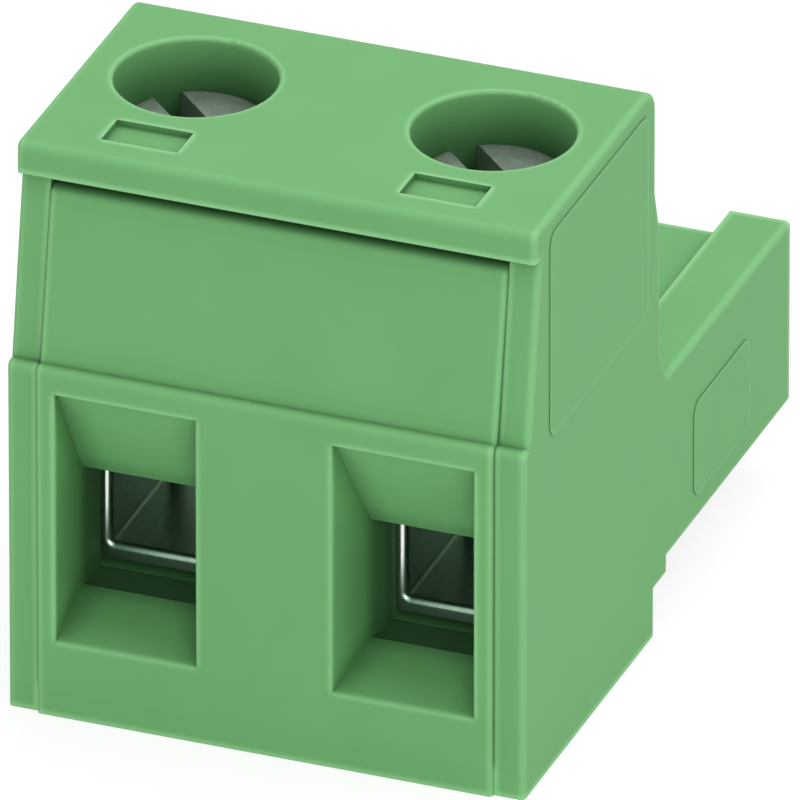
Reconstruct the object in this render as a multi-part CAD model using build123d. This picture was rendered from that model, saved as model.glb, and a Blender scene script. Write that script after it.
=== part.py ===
from build123d import *
import math
import os

# Two-position pluggable screw terminal block, built piece by piece in millimetres.
#
# The plug stands on its base with the wire entries towards -Y and the nose, which goes into
# a board header, towards +Y. X runs along the pitch. Heights are above the base, and depths
# are measured backwards from the front face of the cover.

# Layout
poles = 2
pitch = 7.62
side_margin = 2.82  # from an outer screw axis to the side face
overall_length = 18.3
overall_height = 15.0
screw_axis_depth = 5.43

# Screw and its clamping cage, an M2.5 thread
thread_radius = 1.25
thread_clearance = 0.05
head_radius = 1.9
head_height = 1.3
head_drop = 1.3  # the head lies this far below the top face
head_gap = 0.05
head_rounding = 0.22
bore_clearance = 0.1
slot_width = 0.75
slot_depth = 0.75
slot_angle = -45.0
tip_chamfer = 0.3

cage_wall = 0.23
cage_wall_gap = 0.13  # between the thread and the cage's side walls
cage_base = 0.4
cage_depth = 3.8
cage_setback = 0.29  # behind the cover
cage_bend = 0.08
cage_window_bend = 0.1
cage_front_rounding = 0.16
cage_shoulder = 0.3
nut_thickness = 1.5
nut_gap = 0.25
cage_floor_gap = 0.11
closed_gap = 0.3  # left under the current bar when the cage is all the way up
lift_clearance = 0.25

# Contact: a current bar inside the cage, a riser and two spring leaves
bar_thickness = 0.8
bar_side_gap = 0.1  # between the bar and the cage's side walls
riser_thickness = 0.6
riser_gap = 0.5
leaf_thickness = 0.35
leaf_clearance = 0.08
pinch_gap = 0.9  # between the leaves, a little less than the 1 mm pin
pinch_back = 2.1
leaf_flare = 0.4
bar_tip_reach = 0.3
contact_clearance = 0.06

# Housing, outside
cap_setback = 0.83
cap_thickness = 0.84
strip_setback = 0.12
strip_foot_depth = 0.4
strip_top_depth = 1.16
ledge_drop = 0.05
block_depth = 8.98
swell_top_height = 12.13
swell_height = 11.16
swell_depth = 0.27
swell_foot_height = 7.54
swell_foot_depth = 0.4
shoulder_depth = 9.87
step_height = 1.24
nose_bottom = 1.7
nose_height = 4.95
rib_width = 1.55
nose_floor_drop = 0.68
edge_rounding = 0.12
cap_rounding = 0.22
ledge_rounding = 0.2  # on the ledges of the strips and of the cover
back_rounding = 0.6

# Housing, inside
side_wall = 0.775
chamber_floor = 2.64
chamber_clearance = 0.06
chamber_back_gap = 0.18
screw_web = 0.6
web_clearance = 0.1
nose_wall = 0.62
nose_cavity_clearance = 0.3
nose_end_wall = 1.0
pin_entry = 1.7
pin_entry_flare = 0.35
rim_rounding = 0.08

# Shallow fields: the labels are sunk, and the fields on the sides are raised
label_width = 1.95
label_length = 1.07
label_depth = 0.16
label_centre = 3.23  # in front of the screw axis
field_rise = 0.03
field_rounding = 0.4
block_field_front = 0.93
block_field_back = 0.56
block_field_top = 0.47
block_field_bottom = 8.98
nose_field_front = 1.75
nose_field_length = 3.85
nose_field_bottom = 0.66
nose_field_height = 2.6

# Cover with the wire funnels
cover_clearance = 0.005
cover_depth = 2.94
cover_back_gap = 0.06
ledge_height = 9.47
ledge_depth = 0.26
panel_top_depth = 1.03
panel_top_gap = 0.3
panel_back_depth = 2.25
cover_block_height = 10.15
mouth_bottom = 2.05
mouth_ledge_gap = 0.72  # between the top of the mouth and the ledge
mouth_outer = 1.55  # from the screw axis towards the side face
mouth_inner = 2.06  # from the screw axis towards the middle
mouth_land = 0.17  # the roof of the mouth runs level this far before it slopes
mouth_taper = 0.436
throat_drop = 0.28  # the throat's roof lies this far below the current bar
throat_top_depth = 1.83
throat_lip_rise = 0.05  # the throat's lip stands this far above the chamber floor
throat_lip_depth = 1.87
throat_side_depth = 2.563
cover_rounding = 0.1
panel_rounding = 0.25
mouth_rounding = 0.07
snap_reach = 0.2
snap_length = 0.7
snap_height = 3.0
snap_bottom = 4.2
snap_back = 0.35
snap_clearance = 0.05

# Places that follow from the sizes above
body_width = (poles - 1) * pitch + 2 * side_margin
half_width = body_width / 2
screw_places = [(number - (poles - 1) / 2) * pitch for number in range(poles)]

# Downwards from the top face: screw head, web and the top of the cage's chamber
head_top = overall_height - head_drop
head_bottom = head_top - head_height
seat_height = head_bottom - head_gap
chamber_top = seat_height - screw_web

# Upwards from the chamber floor: what the height leaves is shared by the open wire gap
# and the cage's lift, which closes that gap
cage_bottom = chamber_floor + cage_floor_gap
cage_floor = cage_bottom + cage_base
clamp_stack = bar_thickness + nut_gap + nut_thickness + lift_clearance
free_height = chamber_top - cage_floor - clamp_stack
wire_gap = (free_height + closed_gap) / 2
bar_bottom = cage_floor + wire_gap
bar_top = bar_bottom + bar_thickness
nut_bottom = bar_top + nut_gap
nut_top = nut_bottom + nut_thickness

cap_bottom = overall_height - cap_thickness
bore_radius = head_radius + bore_clearance
screw_radius = thread_radius - thread_clearance
cage_front_depth = cover_depth + cage_setback
cage_back_depth = cage_front_depth + cage_depth
cage_inner_width = 2 * (thread_radius + cage_wall_gap)
cage_width = cage_inner_width + 2 * cage_wall
contact_width = cage_inner_width - 2 * bar_side_gap
throat_top = bar_bottom - throat_drop
throat_lip = chamber_floor + throat_lip_rise
chamber_back_depth = cage_back_depth + chamber_back_gap
chamber_width = cage_width + 2 * chamber_clearance

rib_top = nose_bottom + nose_height
nose_floor = rib_top - nose_floor_drop
cavity_bottom = nose_bottom + nose_wall
cavity_top = nose_floor - nose_wall
pin_height = (cavity_bottom + cavity_top) / 2
cavity_width = contact_width + 2 * nose_cavity_clearance
cavity_end_depth = overall_length - nose_end_wall
riser_depth = chamber_back_depth + riser_gap
riser_back_depth = riser_depth + riser_thickness

mouth_top = ledge_height - mouth_ledge_gap
cover_width = body_width - 2 * side_wall - 2 * cover_clearance
panel_top = cap_bottom - panel_top_gap
pocket_depth = cover_depth + cover_back_gap
pocket_panel_depth = panel_back_depth + cover_back_gap
pocket_block_height = cover_block_height + cover_back_gap
snap_depth = cover_depth - snap_back - snap_length

far = 10 * overall_height  # longer than anything, for cuts that go right through


def y_at(depth):
    """Y of a place that lies this deep behind the front face, with the plug centred."""
    return depth - overall_length / 2


def block(x_range, depth_range, height_range):
    """A box between two places along each axis."""
    size = [abs(high - low) for low, high in (x_range, depth_range, height_range)]
    centre = (sum(x_range) / 2, y_at(sum(depth_range) / 2), sum(height_range) / 2)
    return Pos(*centre) * Box(*size)


def profile(points):
    """A face in the side view from (depth, height) points."""
    outline = Polyline(*[(y_at(depth), height) for depth, height in points], close=True)
    return make_face(Plane.YZ * outline)


def edges_at(body, corners):
    """The edges along X that pass through these (depth, height) corners of the side view."""
    along = body.edges().filter_by(Axis.X)
    places = [Vector(0, y_at(depth), height) for depth, height in corners]
    return [along.sort_by_distance(place)[0] for place in places]


def along_x(face, width, centre=0.0):
    """The face drawn out along X to the given width."""
    return Pos(centre, 0, 0) * extrude(face, width / 2, dir=(1, 0, 0), both=True)


# Housing

def rounded_side_edge(edge):
    """True for the edges of a side face apart from the base, the nose's end and under the cap."""
    above_base = edge.center().Z > edge_rounding
    before_end = edge.center().Y < y_at(overall_length - edge_rounding)
    in_front = edge.center().Y < y_at(strip_top_depth)
    under_cap = in_front and abs(edge.center().Z - cap_bottom) < edge_rounding
    return above_base and before_end and not under_cap


def housing_block():
    """The outer form: base, step, nose, swollen back, cap, and the strips beside the cover."""
    strip_ledge = ledge_height - ledge_drop
    back_top = (block_depth, overall_height)
    cap_high = (cap_setback, overall_height)
    strip_step = (strip_setback, strip_ledge)
    outline = profile([
        (strip_setback, 0),
        (block_depth, 0),
        (block_depth, step_height),
        (shoulder_depth, step_height),
        (shoulder_depth, nose_bottom),
        (overall_length, nose_bottom),
        (overall_length, rib_top),
        (shoulder_depth, rib_top),
        (block_depth + swell_foot_depth, swell_foot_height),
        (block_depth + swell_depth, swell_height),
        (block_depth, swell_top_height),
        back_top,
        cap_high,
        (cap_setback, cap_bottom),
        (strip_top_depth, cap_bottom),
        (strip_foot_depth, strip_ledge),
        strip_step,
    ])
    body = along_x(outline, body_width)
    body = fillet(edges_at(body, [back_top]), back_rounding)
    body = fillet(edges_at(body, [cap_high]), cap_rounding)
    body = fillet(edges_at(body, [strip_step]), ledge_rounding)
    side_edges = body.faces().filter_by(Axis.X).edges().filter_by(rounded_side_edge)
    return fillet(side_edges, edge_rounding)


def raised_field(depth_range, height_range):
    """A rounded field that stands a little proud of both side faces."""
    low_depth, high_depth = depth_range
    low_height, high_height = height_range
    face = profile([(low_depth, low_height), (high_depth, low_height),
                    (high_depth, high_height), (low_depth, high_height)])
    face = fillet(face.vertices(), field_rounding)
    return [along_x(face, field_rise, half_width + field_rise / 2),
            along_x(face, field_rise, -half_width - field_rise / 2)]


def cover_pocket():
    """The opening in the front of the housing that takes the cover."""
    points = [
        (-far, -far),
        (pocket_depth, -far),
        (pocket_depth, pocket_block_height),
        (pocket_panel_depth, pocket_block_height),
        (pocket_panel_depth, cap_bottom),
        (-far, cap_bottom),
    ]
    return along_x(profile(points), body_width - 2 * side_wall)


def snap_notches():
    """Notches in both side walls for the wedges on the cover."""
    reach = cover_width / 2 + snap_reach + snap_clearance
    return [block((-reach, reach),
                  (snap_depth - snap_clearance, snap_depth + snap_length + snap_clearance),
                  (snap_bottom - snap_clearance, snap_bottom + snap_height + snap_clearance))]


def pole_cavity(axis_x):
    """What one pole needs: screw bore, cage chamber, riser slot, spring cavity and pin entry."""
    half_chamber = chamber_width / 2
    half_riser = contact_width / 2 + contact_clearance
    half_cavity = cavity_width / 2
    riser_top = bar_top + contact_clearance
    half_entry = pin_entry / 2
    bore_height = overall_height - seat_height + far
    web_radius = thread_radius + web_clearance
    flare_start = y_at(overall_length - pin_entry_flare)
    entry_plane = Plane(origin=(axis_x, flare_start, pin_height), x_dir=(1, 0, 0), z_dir=(0, 1, 0))
    mouth_plane = entry_plane.offset(pin_entry_flare)
    wide_entry = pin_entry + 2 * pin_entry_flare
    flare = loft([entry_plane * Rectangle(pin_entry, pin_entry),
                  mouth_plane * Rectangle(wide_entry, wide_entry)])
    return [
        Pos(axis_x, y_at(screw_axis_depth), seat_height) * Cylinder(
            bore_radius, bore_height, align=(Align.CENTER, Align.CENTER, Align.MIN)),
        Pos(axis_x, y_at(screw_axis_depth), chamber_top) * Cylinder(
            web_radius, screw_web, align=(Align.CENTER, Align.CENTER, Align.MIN)),
        block((axis_x - half_chamber, axis_x + half_chamber),
              (cover_depth, chamber_back_depth), (chamber_floor, chamber_top)),
        block((axis_x - half_riser, axis_x + half_riser),
              (chamber_back_depth, riser_back_depth + contact_clearance),
              (cavity_bottom, riser_top)),
        block((axis_x - half_cavity, axis_x + half_cavity),
              (chamber_back_depth, cavity_end_depth), (cavity_bottom, cavity_top)),
        block((axis_x - half_entry, axis_x + half_entry),
              (cavity_end_depth, overall_length), (pin_height - half_entry, pin_height + half_entry)),
        flare,
    ]


def label_recess(axis_x):
    """The small sunk field in front of a screw hole."""
    centre = screw_axis_depth - label_centre
    return block((axis_x - label_width / 2, axis_x + label_width / 2),
                 (centre - label_length / 2, centre + label_length / 2),
                 (overall_height - label_depth, overall_height))


def build_housing():
    body = housing_block()
    block_field = raised_field(
        (cap_setback + block_field_front, block_depth - block_field_back),
        (block_field_bottom, overall_height - block_field_top))
    nose_field_start = shoulder_depth + nose_field_front
    nose_field = raised_field(
        (nose_field_start, nose_field_start + nose_field_length),
        (nose_bottom + nose_field_bottom, nose_bottom + nose_field_bottom + nose_field_height))
    between_ribs = block((-half_width + rib_width, half_width - rib_width),
                         (shoulder_depth, overall_length), (nose_floor, rib_top))
    body += [*block_field, *nose_field]
    body -= [cover_pocket(), between_ribs, *snap_notches()]
    for axis_x in screw_places:
        body -= [*pole_cavity(axis_x), label_recess(axis_x)]

    rims = body.edges().filter_by(GeomType.CIRCLE).filter_by_position(
        Axis.Z, overall_height - rim_rounding, overall_height + rim_rounding)
    rims = rims.filter_by(lambda edge: abs(edge.radius - bore_radius) < rim_rounding)
    return fillet(rims, rim_rounding)


# Cover

def funnel(axis_x):
    """A wire entry: a mouth that narrows to a throat, and the straight passage behind it."""
    outward = math.copysign(1, axis_x)
    side_view = profile([
        (0, mouth_bottom),
        (throat_lip_depth, throat_lip),
        (throat_lip_depth, chamber_floor),
        (cover_depth, chamber_floor),
        (cover_depth, throat_top),
        (throat_top_depth, throat_top),
        (mouth_land, mouth_top),
        (0, mouth_top),
    ])
    outer = axis_x + outward * mouth_outer
    inner = axis_x - outward * mouth_inner
    throat_inner = inner + outward * mouth_taper
    top_view = make_face(Polyline(
        (outer, y_at(0)), (inner, y_at(0)), (throat_inner, y_at(throat_side_depth)),
        (throat_inner, y_at(cover_depth)), (outer, y_at(cover_depth)), close=True))
    column = extrude(top_view, overall_height, dir=(0, 0, 1))
    return along_x(side_view, body_width * 2) & column


def bar_tip_pocket(axis_x):
    """A blind slot in the back of the cover that holds the tip of the current bar."""
    half = contact_width / 2 + contact_clearance
    return block((axis_x - half, axis_x + half),
                 (cover_depth - bar_tip_reach - contact_clearance, cover_depth),
                 (bar_bottom - contact_clearance, bar_top + contact_clearance))


def snap_wedge(side):
    """A wedge on the side of the cover that clicks into the side wall."""
    base = side * cover_width / 2
    tip = side * (cover_width / 2 + snap_reach)
    front = y_at(snap_depth)
    back = y_at(snap_depth + snap_length)
    outline = Polyline((base, front), (tip, back), (base, back), close=True)
    return Pos(0, 0, snap_bottom) * extrude(make_face(outline), snap_height, dir=(0, 0, 1))


def mouth_rims(body):
    """The edges around the mouths in the front face of the cover."""
    outermost = screw_places[-1] + mouth_outer + mouth_rounding
    in_front = body.edges().filter_by_position(Axis.Y, y_at(0), y_at(0))
    across = in_front.filter_by_position(Axis.X, -outermost, outermost)
    return across.filter_by_position(Axis.Z, mouth_bottom - mouth_rounding,
                                     mouth_top + mouth_rounding)


def build_cover():
    ledge = (0, ledge_height)
    panel_front = (panel_top_depth, panel_top)
    outline = profile([
        (0, 0),
        (cover_depth, 0),
        (cover_depth, cover_block_height),
        (panel_back_depth, cover_block_height),
        (panel_back_depth, panel_top),
        panel_front,
        (ledge_depth, ledge_height),
        ledge,
    ])
    body = along_x(outline, cover_width)
    body = fillet(edges_at(body, [ledge]), ledge_rounding)
    body = fillet(edges_at(body, [panel_front]), panel_rounding)
    side_edges = body.faces().filter_by(Axis.X).edges().filter_by_position(
        Axis.Y, y_at(0), y_at(panel_top_depth + panel_rounding))
    body = fillet(side_edges, cover_rounding)
    for axis_x in screw_places:
        body -= [funnel(axis_x), bar_tip_pocket(axis_x)]
    body = fillet(mouth_rims(body), mouth_rounding)
    return body + [snap_wedge(side) for side in (-1, 1)]


# Clamp

def build_cage(axis_x):
    """A sheet sleeve around the current bar, with a thick threaded top."""
    half = cage_width / 2
    inner_half = cage_inner_width / 2
    front = Plane(origin=(axis_x, y_at(cage_front_depth), 0), x_dir=(1, 0, 0), z_dir=(0, -1, 0))
    outer = make_face(Polyline((-half, cage_bottom), (half, cage_bottom), (half, nut_top),
                               (-half, nut_top), close=True))
    lower = outer.vertices().group_by(Axis.Y)[0]
    outer = fillet(lower, cage_bend)
    outer = fillet(outer.vertices().group_by(Axis.Y)[-1], cage_shoulder)
    window = make_face(Polyline((-inner_half, cage_floor), (inner_half, cage_floor),
                                (inner_half, nut_bottom), (-inner_half, nut_bottom), close=True))
    window = fillet(window.vertices(), cage_window_bend)
    sleeve = extrude(front * (outer - window), -cage_depth)
    front_edges = sleeve.edges().filter_by_position(Axis.Y, y_at(cage_front_depth),
                                                    y_at(cage_front_depth))
    rim = [edge for edge in front_edges
           if abs(edge.center().X - axis_x) < inner_half + cage_wall / 2
           and nut_bottom + cage_wall / 2 > edge.center().Z > cage_floor - cage_base / 2]
    sleeve = fillet(rim, cage_front_rounding)
    thread = Pos(axis_x, y_at(screw_axis_depth), nut_bottom) * Cylinder(
        thread_radius, nut_thickness, align=(Align.CENTER, Align.CENTER, Align.MIN))
    return sleeve - thread


def build_screw(axis_x):
    """A cheese-head screw whose tip stands on the current bar."""
    upward = (Align.CENTER, Align.CENTER, Align.MIN)
    shank = Cylinder(screw_radius, head_bottom - bar_top, align=upward)
    shank = chamfer(shank.edges().group_by(Axis.Z)[0], tip_chamfer)
    head = Cylinder(head_radius, head_height, align=upward)
    head = fillet(head.edges().group_by(Axis.Z)[-1], head_rounding)
    slot = Pos(0, 0, head_height - slot_depth) * Rot(0, 0, slot_angle) * Box(
        2 * far, slot_width, far, align=upward)
    foot = Pos(axis_x, y_at(screw_axis_depth), bar_top)
    return foot * (shank + Pos(0, 0, head_bottom - bar_top) * (head - slot))


# Contact

def build_leaf(side):
    """One spring leaf: from the riser to the pinch, then flared open."""
    root = (cavity_top - cavity_bottom) / 2 - leaf_clearance - leaf_thickness / 2
    pinch = (pinch_gap + leaf_thickness) / 2
    pinch_depth = cavity_end_depth - pinch_back
    tip_depth = cavity_end_depth - leaf_flare
    tip = pinch + leaf_flare
    centre_line = Polyline(
        (y_at(riser_depth), pin_height + side * root),
        (y_at(riser_back_depth + riser_gap), pin_height + side * root),
        (y_at(pinch_depth), pin_height + side * pinch),
        (y_at(tip_depth), pin_height + side * tip))
    return along_x(Plane.YZ * trace(centre_line, leaf_thickness), contact_width)


def build_contact(axis_x):
    """The current bar, the riser behind the cage and the two leaves that grip a header pin."""
    root = (cavity_top - cavity_bottom) / 2 - leaf_clearance
    bar = block((-contact_width / 2, contact_width / 2),
                (cover_depth - bar_tip_reach, riser_back_depth), (bar_bottom, bar_top))
    riser = block((-contact_width / 2, contact_width / 2),
                  (riser_depth, riser_back_depth), (pin_height - root, bar_top))
    return Pos(axis_x, 0, 0) * (bar + riser + [build_leaf(side) for side in (-1, 1)])


def write_parts():
    """Writes each piece to parts/, numbered from the left as seen from the front."""
    shapes = {"housing": build_housing(), "front_cover": build_cover()}
    for number, axis_x in enumerate(screw_places, start=1):
        shapes[f"clamp_cage_{number}"] = build_cage(axis_x)
        shapes[f"clamp_screw_{number}"] = build_screw(axis_x)
        shapes[f"contact_{number}"] = build_contact(axis_x)
    os.makedirs("parts", exist_ok=True)
    for name, shape in shapes.items():
        export_step(shape, f"parts/{name}.step")


write_parts()
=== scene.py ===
"""Looks of the pluggable terminal block: materials, threads, light and the photograph's camera."""
import math

import bmesh
import bpy
from mathutils import Matrix, Vector


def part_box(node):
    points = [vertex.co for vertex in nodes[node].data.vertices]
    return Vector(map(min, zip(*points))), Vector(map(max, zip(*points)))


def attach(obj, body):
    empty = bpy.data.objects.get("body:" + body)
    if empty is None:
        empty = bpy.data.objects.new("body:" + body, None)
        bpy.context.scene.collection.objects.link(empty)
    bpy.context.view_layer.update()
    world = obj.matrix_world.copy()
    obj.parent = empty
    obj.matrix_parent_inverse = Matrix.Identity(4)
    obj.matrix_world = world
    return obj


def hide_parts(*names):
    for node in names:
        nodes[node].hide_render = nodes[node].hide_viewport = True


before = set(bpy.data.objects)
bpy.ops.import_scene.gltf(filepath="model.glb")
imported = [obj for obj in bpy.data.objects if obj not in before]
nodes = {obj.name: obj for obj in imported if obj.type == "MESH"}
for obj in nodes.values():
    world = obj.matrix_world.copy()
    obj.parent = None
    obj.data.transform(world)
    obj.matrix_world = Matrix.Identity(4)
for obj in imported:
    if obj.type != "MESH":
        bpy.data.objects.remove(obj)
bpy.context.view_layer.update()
MM = 0.001

# Camera, with its direction, scale and aim fitted to the corners of the plug in the photograph
PHOTO_SIDE = 800.0
CAMERA_AZIMUTH = 20.93
CAMERA_ELEVATION = 28.41
CAMERA_DISTANCE = 850 * MM
CLIP_START = MM
CLIP_END = CAMERA_DISTANCE * 10
PIXELS_PER_MM = 41.573
AIM_POINT = Vector((0.0, -2.15, 7.5)) * MM
AIM_PIXEL = (368.3, 350.6)
SENSOR = 36.0


def camera_axes():
    """Right, up and backward directions of a camera with no roll."""
    azimuth = math.radians(CAMERA_AZIMUTH)
    elevation = math.radians(CAMERA_ELEVATION)
    right = Vector((math.cos(azimuth), math.sin(azimuth), 0))
    backward = Vector((math.sin(azimuth) * math.cos(elevation),
                       -math.cos(azimuth) * math.cos(elevation),
                       math.sin(elevation)))
    return right, backward.cross(right), backward


def add_camera():
    """A camera that shows the aim point at the aim pixel of the photograph."""
    right, up, backward = camera_axes()
    middle = PHOTO_SIDE / 2
    across = (middle - AIM_PIXEL[0]) / PIXELS_PER_MM * MM
    upward = (AIM_PIXEL[1] - middle) / PIXELS_PER_MM * MM
    place = AIM_POINT + right * across + up * upward + backward * CAMERA_DISTANCE
    data = bpy.data.cameras.new("camera")
    data.sensor_width = SENSOR
    data.lens = PIXELS_PER_MM * CAMERA_DISTANCE / MM / PHOTO_SIDE * SENSOR
    data.clip_start = CLIP_START
    data.clip_end = CLIP_END
    camera = bpy.data.objects.new("camera", data)
    turn = Matrix((right, up, backward)).transposed().to_4x4()
    camera.matrix_world = Matrix.Translation(place) @ turn
    bpy.context.scene.collection.objects.link(camera)
    bpy.context.scene.camera = camera


# Node helpers

AO_SAMPLES = 6
RELIEF_HEIGHT = 0.004 * MM
MIX_FIRST_COLOUR = 6
MIX_SECOND_COLOUR = 7
MIX_COLOUR_RESULT = 2


def new_material(name):
    """A material with no nodes but its output."""
    material = bpy.data.materials.new(name)
    material.use_nodes = True
    tree = material.node_tree
    tree.nodes.clear()
    output = tree.nodes.new("ShaderNodeOutputMaterial")
    return material, tree, output


def add_node(tree, kind, **values):
    """A node with its sockets set by name, spaces written as underscores."""
    node = tree.nodes.new(kind)
    for name, value in values.items():
        node.inputs[name.replace("_", " ")].default_value = value
    return node


def noise(tree, scale, detail=2.0, stretch=(1, 1, 1)):
    """Noise fixed to the piece, with scale in features per metre."""
    place = tree.nodes.new("ShaderNodeTexCoord")
    mapping = add_node(tree, "ShaderNodeMapping", Scale=stretch)
    texture = add_node(tree, "ShaderNodeTexNoise", Scale=scale, Detail=detail)
    tree.links.new(place.outputs["Object"], mapping.inputs["Vector"])
    tree.links.new(mapping.outputs["Vector"], texture.inputs["Vector"])
    return texture.outputs["Fac"]


def coordinates(tree, kind):
    """X, Y and Z of the object's own coordinates, or of its normal."""
    place = tree.nodes.new("ShaderNodeTexCoord")
    parts = tree.nodes.new("ShaderNodeSeparateXYZ")
    tree.links.new(place.outputs[kind], parts.inputs["Vector"])
    return parts.outputs


def ramp(tree, source, stops, colours):
    """Goes from the first colour to the second between two stops of a value."""
    node = tree.nodes.new("ShaderNodeValToRGB")
    for element, stop, colour in zip(node.color_ramp.elements, stops, colours):
        element.position = stop
        element.color = (*colour, 1)
    tree.links.new(source, node.inputs["Fac"])
    return node.outputs["Color"]


def spread(tree, source, low, high, start=0.0, end=1.0):
    """Maps the range from start to end of a value onto low to high."""
    node = add_node(tree, "ShaderNodeMapRange", From_Min=start, From_Max=end, To_Min=low, To_Max=high)
    tree.links.new(source, node.inputs["Value"])
    return node.outputs["Result"]


def rising(tree, source, start, end):
    """From 0 to 1 as a value goes from start to end."""
    return spread(tree, source, 0.0, 1.0, start, end)


def falling(tree, source, start, end):
    """From 1 to 0 as a value goes from start to end."""
    return spread(tree, source, 1.0, 0.0, start, end)


def calculate(tree, operation, *values):
    """The result of one operation on one or two values."""
    node = tree.nodes.new("ShaderNodeMath")
    node.operation = operation
    for value, socket in zip(values, node.inputs):
        tree.links.new(value, socket)
    return node.outputs["Value"]


def larger(tree, first, second):
    """The larger of two values."""
    return calculate(tree, "MAXIMUM", first, second)


def blend(tree, factor, first, second):
    """Goes from the first colour to the second as the factor goes from 0 to 1."""
    node = tree.nodes.new("ShaderNodeMix")
    node.data_type = "RGBA"
    tree.links.new(factor, node.inputs["Factor"])
    for colour, number in ((first, MIX_FIRST_COLOUR), (second, MIX_SECOND_COLOUR)):
        socket = node.inputs[number]
        if isinstance(colour, tuple):
            socket.default_value = (*colour, 1)
        else:
            tree.links.new(colour, socket)
    return node.outputs[MIX_COLOUR_RESULT]


def openness(tree, reach, limits=(0.0, 1.0), inside=False):
    """From 0 in a recess to 1 in the open, or with inside from 0 on an edge to 1 on a flat."""
    node = add_node(tree, "ShaderNodeAmbientOcclusion", Distance=reach)
    node.samples = AO_SAMPLES
    node.inside = inside
    return rising(tree, node.outputs["AO"], *limits)


def relief(tree, shader, height, strength, edge):
    """Fine relief, over edges that are softened by the given radius."""
    soft = add_node(tree, "ShaderNodeBevel", Radius=edge)
    bump = add_node(tree, "ShaderNodeBump", Strength=strength, Distance=RELIEF_HEIGHT)
    tree.links.new(height, bump.inputs["Height"])
    tree.links.new(soft.outputs["Normal"], bump.inputs["Normal"])
    tree.links.new(bump.outputs["Normal"], shader.inputs["Normal"])


# Green plastic

GREEN_DEEP = (0.170, 0.462, 0.170)
GREEN_PALE = (0.181, 0.486, 0.181)
# Painted highlight on open edges
GREEN_EDGE_HIGHLIGHT = (0.330, 0.720, 0.330)
# Painted shade: darker greens for creases, for hollows and for the deepest hollows
GREEN_CREASE_SHADE = (0.085, 0.240, 0.085)
GREEN_HOLLOW_SHADE = (0.020, 0.060, 0.020)
GREEN_DEPTH_SHADE = (0.075, 0.215, 0.075)
GREEN_SPECULAR = 0.25
GREEN_ROUGHNESS = (0.55, 0.65)
CLOUD_SCALE = 420.0
CLOUD_DETAIL = 3.0
CLOUD_STOPS = (0.3, 0.7)
GRAIN_SCALE = 14000.0
GRAIN_STRENGTH = 0.1
PLASTIC_EDGE = 0.05 * MM

# How far round a point the material looks for a hollow and a crease, where it paints shade, and for an edge,
# where it paints a highlight
HOLLOW_REACH = 5 * MM
CREASE_REACH = 0.8 * MM
EDGE_REACH = 0.2 * MM

# Openness over which one green gives way to the next, for the painted shade and the painted highlight
DEPTH_LIMITS = (0.0, 0.15)
HOLLOW_LIMITS = (0.14, 0.38)
CREASE_LIMITS = (0.4, 1.0)
EDGE_LIMITS = (0.6, 0.95)

# Openness over which an edge stops being too shaded to take the painted highlight
EDGE_CREASE_LIMITS = (0.75, 0.92)
EDGE_HOLLOW_LIMITS = (0.35, 0.55)

# Height up to which the floor's nearness adds no painted shade, and from which it counts in full
GROUND_LIMITS = (0.5 * MM, 2.0 * MM)

# Depth of the funnels over which painted shade makes them darker
THROAT_START = 1.5 * MM
THROAT_END = 2.0 * MM
THROAT_SHADE = 0.5


def green_colour(tree, cloud, throat):
    """Two greens in clouds, with painted shade in hollows and creases and a painted highlight on open edges.
    """
    place = coordinates(tree, "Object")
    grounded = falling(tree, place["Z"], *GROUND_LIMITS)
    hollow = larger(tree, openness(tree, HOLLOW_REACH), grounded)
    near = larger(tree, openness(tree, CREASE_REACH), grounded)
    flat = openness(tree, EDGE_REACH, EDGE_LIMITS, inside=True)
    shaded = larger(tree, falling(tree, near, *EDGE_CREASE_LIMITS),
                    falling(tree, hollow, *EDGE_HOLLOW_LIMITS))
    colour = ramp(tree, cloud, CLOUD_STOPS, (GREEN_DEEP, GREEN_PALE))
    # Painted shade in hollows and creases
    dark = blend(tree, rising(tree, hollow, *DEPTH_LIMITS), GREEN_DEPTH_SHADE, GREEN_HOLLOW_SHADE)
    colour = blend(tree, rising(tree, hollow, *HOLLOW_LIMITS), dark, colour)
    colour = blend(tree, rising(tree, near, *CREASE_LIMITS), GREEN_CREASE_SHADE, colour)
    # Painted highlight on open edges, kept out of the painted shade
    colour = blend(tree, larger(tree, flat, shaded), GREEN_EDGE_HIGHLIGHT, colour)
    if throat:
        # Painted shade deeper in the funnels
        deep = spread(tree, place["Y"], 0.0, THROAT_SHADE, *throat)
        colour = blend(tree, deep, colour, GREEN_HOLLOW_SHADE)
    return colour


def green_plastic(name, throat=None):
    """Satin moulded plastic with a fine grain.

    With throat, a range along Y, its colour also takes painted shade over that range.
    """
    material, tree, output = new_material(name)
    shader = add_node(tree, "ShaderNodeBsdfPrincipled", Specular_IOR_Level=GREEN_SPECULAR)
    cloud = noise(tree, CLOUD_SCALE, CLOUD_DETAIL)
    tree.links.new(green_colour(tree, cloud, throat), shader.inputs["Base Color"])
    tree.links.new(spread(tree, cloud, *GREEN_ROUGHNESS), shader.inputs["Roughness"])
    relief(tree, shader, noise(tree, GRAIN_SCALE), GRAIN_STRENGTH, PLASTIC_EDGE)
    tree.links.new(shader.outputs["BSDF"], output.inputs["Surface"])
    return material


# Metals

LINE_SCALE = 6000.0
LINE_DETAIL = 4.0
LINE_STOPS = (0.25, 0.75)
METAL_EDGE = 0.02 * MM

CAGE_METALLIC = 1.0
# The sheet's dark green is painted shade and a painted reflection of the green walls round it
CAGE_SHEET_SHADE = ((0.31, 0.47, 0.36), (0.38, 0.56, 0.44))
# Painted highlight on the cut edges
CAGE_CUT_HIGHLIGHT = (0.9, 0.91, 0.92)
CAGE_ROUGHNESS = (0.3, 0.2)
CAGE_LINES = (1, 0.04, 1)
CAGE_RELIEF = 0.05

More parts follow.
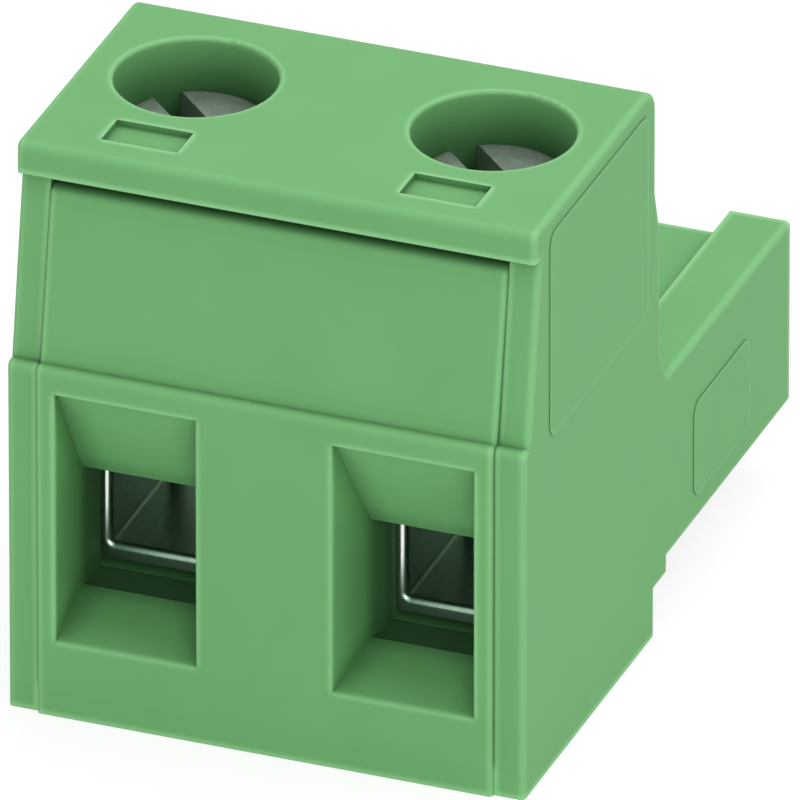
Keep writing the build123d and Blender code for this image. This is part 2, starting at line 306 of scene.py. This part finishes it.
# How squarely a cut edge faces along Y, and the height over which its painted highlight comes in, with
# painted shade below
CUT_FACING = (0.2, 0.7)
CUT_HEIGHT = (3.1 * MM, 4.2 * MM)

SCREW_METALLIC = 0.6
# The dark green grey is painted shade and a painted reflection of the green plastic round the screws
SCREW_SHADED_COLOURS = ((0.22, 0.265, 0.23), (0.29, 0.345, 0.305))
SCREW_ROUGHNESS = (0.4, 0.55)
SCREW_LINES = (1, 1, 0.2)
SCREW_RELIEF = 0.15

TIN_METALLIC = 1.0
TIN_COLOURS = ((0.6, 0.59, 0.55), (0.75, 0.74, 0.7))
TIN_ROUGHNESS = (0.25, 0.4)
TIN_LINES = (1, 0.1, 1)
TIN_RELIEF = 0.1


def plated_metal(name, metallic, colours, roughness, stretch, strength):
    """Plated metal with fine lines, drawn out along the axis that stretch makes small."""
    material, tree, output = new_material(name)
    shader = add_node(tree, "ShaderNodeBsdfPrincipled", Metallic=metallic)
    lines = noise(tree, LINE_SCALE, LINE_DETAIL, stretch)
    tree.links.new(ramp(tree, lines, LINE_STOPS, colours), shader.inputs["Base Color"])
    tree.links.new(spread(tree, lines, *roughness), shader.inputs["Roughness"])
    relief(tree, shader, lines, strength, METAL_EDGE)
    tree.links.new(shader.outputs["BSDF"], output.inputs["Surface"])
    return material


def cut_highlight_mask(tree):
    """1 on the faces that look along Y, the cut edges of the sleeve, where the highlight is painted, and 0
    on the sheet and low down, where the painted shade stays.
    """
    facing = calculate(tree, "ABSOLUTE", coordinates(tree, "Normal")["Y"])
    height = coordinates(tree, "Object")["Z"]
    return calculate(tree, "MULTIPLY", rising(tree, facing, *CUT_FACING), rising(tree, height, *CUT_HEIGHT))


def cage_metal(name):
    """Zinc-plated sheet, darkened and tinted green by painted shade and a painted reflection, whose cut
    edges, at the front and back of the sleeve, are bright with a painted highlight.
    """
    material, tree, output = new_material(name)
    shader = add_node(tree, "ShaderNodeBsdfPrincipled", Metallic=CAGE_METALLIC)
    cut = cut_highlight_mask(tree)
    lines = noise(tree, LINE_SCALE, LINE_DETAIL, CAGE_LINES)
    sheet = ramp(tree, lines, LINE_STOPS, CAGE_SHEET_SHADE)
    # Painted highlight on the cut edges over the sheet's painted shade and reflection
    tree.links.new(blend(tree, cut, sheet, CAGE_CUT_HIGHLIGHT), shader.inputs["Base Color"])
    tree.links.new(spread(tree, cut, *CAGE_ROUGHNESS), shader.inputs["Roughness"])
    relief(tree, shader, lines, CAGE_RELIEF, METAL_EDGE)
    tree.links.new(shader.outputs["BSDF"], output.inputs["Surface"])
    return material


def dress(obj, material):
    """Gives the whole object one material."""
    obj.data.materials.clear()
    obj.data.materials.append(material)


# Screws: a slotted head and a real thread, in place of the plain cylinders

HEAD_HEIGHT = 1.3 * MM
HEAD_ROUNDING = 0.22 * MM
ROUNDING_STEPS = 8
SLOT_WIDTH = 0.75 * MM
SLOT_DEPTH = 0.75 * MM
SLOT_ANGLE = math.radians(-45.0)
CUTTER_LENGTH_IN_RADII = 3
HEAD_LOWER_EDGE = 0.035 * MM
THREAD_PITCH = 0.45 * MM
THREAD_CREST = 1.2 * MM
THREAD_ROOT = 0.98 * MM
THREAD_LENGTH = 4.7 * MM
FLANK_STEEPNESS = 1.3
TIP_TAPER = 0.3 * MM
STEPS_AROUND = 96
STEPS_PER_PITCH = 8
SHARP_ANGLE = math.radians(40)


def ring(mesh, centre, height, radii):
    """A closed ring of points, with one radius for each."""
    points = []
    for step, radius in enumerate(radii):
        angle = 2 * math.pi * step / len(radii)
        place = (centre.x + radius * math.cos(angle), centre.y + radius * math.sin(angle), height)
        points.append(mesh.verts.new(place))
    return points


def skin(mesh, rings):
    """Faces between rings, and a cap on the first and the last."""
    for lower, upper in zip(rings, rings[1:]):
        for step in range(len(lower)):
            after = (step + 1) % len(lower)
            mesh.faces.new((lower[step], lower[after], upper[after], upper[step]))
    mesh.faces.new(reversed(rings[0]))
    mesh.faces.new(rings[-1])


def thread_radius(angle, height):
    """Radius of the threaded shank at a height above its tip."""
    phase = (height / THREAD_PITCH - angle / (2 * math.pi)) % 1
    flank = 1 - min(1, abs(2 * phase - 1) * FLANK_STEEPNESS)
    runout = min(1, max(0, (THREAD_LENGTH - height) / THREAD_PITCH))
    taper = min(0, height - TIP_TAPER)
    return THREAD_ROOT + (THREAD_CREST - THREAD_ROOT) * flank * runout + taper


def shank_rings(mesh, centre, bottom, top):
    """Rings that follow the thread from the tip up to the head."""
    count = int((top - bottom) / THREAD_PITCH * STEPS_PER_PITCH)
    rings = []
    for level in range(count + 1):
        height = (top - bottom) * level / count
        radii = [thread_radius(2 * math.pi * step / STEPS_AROUND, height)
                 for step in range(STEPS_AROUND)]
        rings.append(ring(mesh, centre, bottom + height, radii))
    return rings


def head_rings(mesh, centre, bottom, top, radius):
    """Rings of the head, with a broken lower edge and a rounded upper one."""
    levels = [(bottom, THREAD_CREST), (bottom, radius - HEAD_LOWER_EDGE), (bottom + HEAD_LOWER_EDGE, radius)]
    for step in range(ROUNDING_STEPS + 1):
        turn = math.pi / 2 * step / ROUNDING_STEPS
        levels.append((top - HEAD_ROUNDING * (1 - math.sin(turn)),
                       radius - HEAD_ROUNDING * (1 - math.cos(turn))))
    return [ring(mesh, centre, height, [size] * STEPS_AROUND) for height, size in levels]


def mesh_object(name, mesh):
    """An object in the scene that holds the finished mesh."""
    data = bpy.data.meshes.new(name)
    mesh.to_mesh(data)
    mesh.free()
    obj = bpy.data.objects.new(name, data)
    bpy.context.scene.collection.objects.link(obj)
    return obj


def slot_cutter(centre, top, radius):
    """A bar centred on the top of the head, so that its lower half cuts the slot."""
    mesh = bmesh.new()
    bmesh.ops.create_cube(mesh, size=1)
    size = Matrix.Diagonal((CUTTER_LENGTH_IN_RADII * radius, SLOT_WIDTH, 2 * SLOT_DEPTH, 1))
    place = Matrix.Translation((centre.x, centre.y, top))
    mesh.transform(place @ Matrix.Rotation(SLOT_ANGLE, 4, "Z") @ size)
    return mesh_object("slot_cutter", mesh)


def apply_modifiers(obj):
    """Keeps the shape that the modifiers make and drops the modifiers."""
    evaluated = obj.evaluated_get(bpy.context.evaluated_depsgraph_get())
    obj.data = bpy.data.meshes.new_from_object(evaluated)
    obj.modifiers.clear()


def add_screw(number, material):
    """A slotted screw that stands for the plain one and turns with it."""
    node = f"clamp_screw_{number}"
    low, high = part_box(node)
    centre = (low + high) / 2
    radius = (high.x - low.x) / 2
    head_bottom = high.z - HEAD_HEIGHT
    mesh = bmesh.new()
    rings = shank_rings(mesh, centre, low.z, head_bottom)
    rings += head_rings(mesh, centre, head_bottom, high.z, radius)
    skin(mesh, rings)
    screw = mesh_object(f"slotted_screw_{number}", mesh)
    cutter = slot_cutter(centre, high.z, radius)
    cut = screw.modifiers.new("slot", "BOOLEAN")
    cut.operation = "DIFFERENCE"
    cut.solver = "EXACT"
    cut.object = cutter
    apply_modifiers(screw)
    bpy.data.objects.remove(cutter)
    screw.data.set_sharp_from_angle(angle=SHARP_ANGLE)
    dress(screw, material)
    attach(screw, f"screw_{number}")
    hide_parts(node)


def dress_all():
    """Gives every piece its material, and the screws their threads and slots."""
    housing_green = green_plastic("housing_green")
    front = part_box("front_cover")[0].y
    cover_green = green_plastic("cover_green", (front + THROAT_START, front + THROAT_END))
    cage_steel = cage_metal("cage_steel")
    # The screws' colours carry painted shade and a painted green reflection
    screw_steel = plated_metal("screw_steel", SCREW_METALLIC, SCREW_SHADED_COLOURS,
                               SCREW_ROUGHNESS, SCREW_LINES, SCREW_RELIEF)
    tin = plated_metal("tin_plate", TIN_METALLIC, TIN_COLOURS,
                       TIN_ROUGHNESS, TIN_LINES, TIN_RELIEF)
    dress(nodes["housing"], housing_green)
    dress(nodes["front_cover"], cover_green)
    for number in (1, 2):
        dress(nodes[f"clamp_cage_{number}"], cage_steel)
        dress(nodes[f"contact_{number}"], tin)
        dress(nodes[f"clamp_screw_{number}"], screw_steel)
        add_screw(number, screw_steel)


# Floor, world and lamps

FLOOR_SIDE = 600 * MM
FLOOR_PALE = (0.75, 0.75, 0.75, 1)
FLOOR_SHADOW = (0.22, 0.22, 0.22, 1)
FLOOR_GLOW = 0.84
WHITE = (1, 1, 1, 1)
WORLD_LIGHT = 0.5
WORLD_SEEN = 1.0
LAMP_AIM = Vector((0, 0, 7 * MM))

# Name, place, length of a side and power in watts
LAMPS = (
    ("top_lamp", (0, 80 * MM, 250 * MM), 200 * MM, 0.194),
    ("side_lamp", (150 * MM, 0, 250 * MM), 120 * MM, 0.185),
    ("front_lamp", (102 * MM, -241 * MM, 40 * MM), 160 * MM, 0.245),
)


def background_ray(tree):
    """1 for camera, glossy and transmission rays, and 0 for the rays that light the object."""
    path = tree.nodes.new("ShaderNodeLightPath")
    direct = larger(tree, path.outputs["Is Camera Ray"], path.outputs["Is Glossy Ray"])
    return larger(tree, direct, path.outputs["Is Transmission Ray"])


def lit_or_seen(tree, lighting, seen, output):
    """Lights the object with the first shader, and shows the second one behind it."""
    mix = tree.nodes.new("ShaderNodeMixShader")
    tree.links.new(background_ray(tree), mix.inputs["Fac"])
    tree.links.new(lighting, mix.inputs[1])
    tree.links.new(seen, mix.inputs[2])
    tree.links.new(mix.outputs["Shader"], output.inputs["Surface"])


def add_floor():
    """A white floor: pale for the light that it throws back, white with a soft shadow to look at."""
    mesh = bmesh.new()
    bmesh.ops.create_grid(mesh, x_segments=1, y_segments=1, size=FLOOR_SIDE / 2)
    floor = mesh_object("floor", mesh)
    material, tree, output = new_material("floor_white")
    pale = add_node(tree, "ShaderNodeBsdfDiffuse", Color=FLOOR_PALE)
    shadow = add_node(tree, "ShaderNodeBsdfDiffuse", Color=FLOOR_SHADOW)
    glow = add_node(tree, "ShaderNodeEmission", Strength=FLOOR_GLOW)
    seen = tree.nodes.new("ShaderNodeAddShader")
    tree.links.new(shadow.outputs["BSDF"], seen.inputs[0])
    tree.links.new(glow.outputs["Emission"], seen.inputs[1])
    lit_or_seen(tree, pale.outputs["BSDF"], seen.outputs["Shader"], output)
    floor.data.materials.append(material)


def add_world():
    """Even white light all round, and a white background."""
    world = bpy.data.worlds.new("studio")
    world.use_nodes = True
    tree = world.node_tree
    tree.nodes.clear()
    output = tree.nodes.new("ShaderNodeOutputWorld")
    light = add_node(tree, "ShaderNodeBackground", Color=WHITE, Strength=WORLD_LIGHT)
    white = add_node(tree, "ShaderNodeBackground", Color=WHITE, Strength=WORLD_SEEN)
    lit_or_seen(tree, light.outputs["Background"], white.outputs["Background"], output)
    bpy.context.scene.world = world


def add_lamp(name, place, side, power):
    """A square area lamp that faces the middle of the plug."""
    data = bpy.data.lights.new(name, "AREA")
    data.size = side
    data.energy = power
    lamp = bpy.data.objects.new(name, data)
    lamp.location = place
    lamp.rotation_euler = (LAMP_AIM - Vector(place)).to_track_quat("-Z", "Y").to_euler()
    bpy.context.scene.collection.objects.link(lamp)


add_camera()
add_world()
add_floor()
for lamp_values in LAMPS:
    add_lamp(*lamp_values)
dress_all()

bpy.context.scene.view_settings.view_transform = "Standard"
